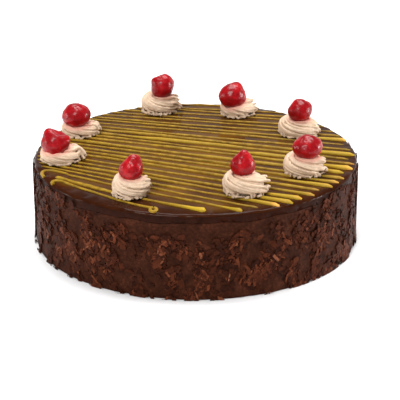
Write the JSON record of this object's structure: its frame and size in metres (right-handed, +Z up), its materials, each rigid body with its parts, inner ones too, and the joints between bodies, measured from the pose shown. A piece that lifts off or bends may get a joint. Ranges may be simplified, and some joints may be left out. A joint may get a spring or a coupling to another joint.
{
  "type": "chocolate tres leches cake",
  "caption": "Whole round chocolate cake with shaved chocolate on its side, a glossy glazed top lined with yellow icing, and piped cream rosettes that each hold a cherry.",
  "frame": {"origin": "centre of the cake's flat underside, on the surface that it stands on", "axes": "+Z up, -Y towards the viewer of the cake's front, +X to the viewer's right"},
  "size_m": [0.2548, 0.2546, 0.0996],
  "materials": {
    "chocolate_coat": "satin",
    "glaze": "gloss",
    "icing": "satin",
    "cream": "satin",
    "cherry": "gloss"
  },
  "bodies": {
    "root": {"cake": "chocolate_coat", "glaze": "glaze", "rosette_1": "cream", "rosette_2": "cream", "rosette_3": "cream", "rosette_4": "cream", "rosette_5": "cream", "rosette_6": "cream", "rosette_7": "cream", "rosette_8": "cream", "cherry_1": "cherry", "cherry_2": "cherry", "cherry_3": "cherry", "cherry_4": "cherry", "cherry_5": "cherry", "cherry_6": "cherry", "cherry_7": "cherry", "cherry_8": "cherry"}
  },
  "joints": []
}
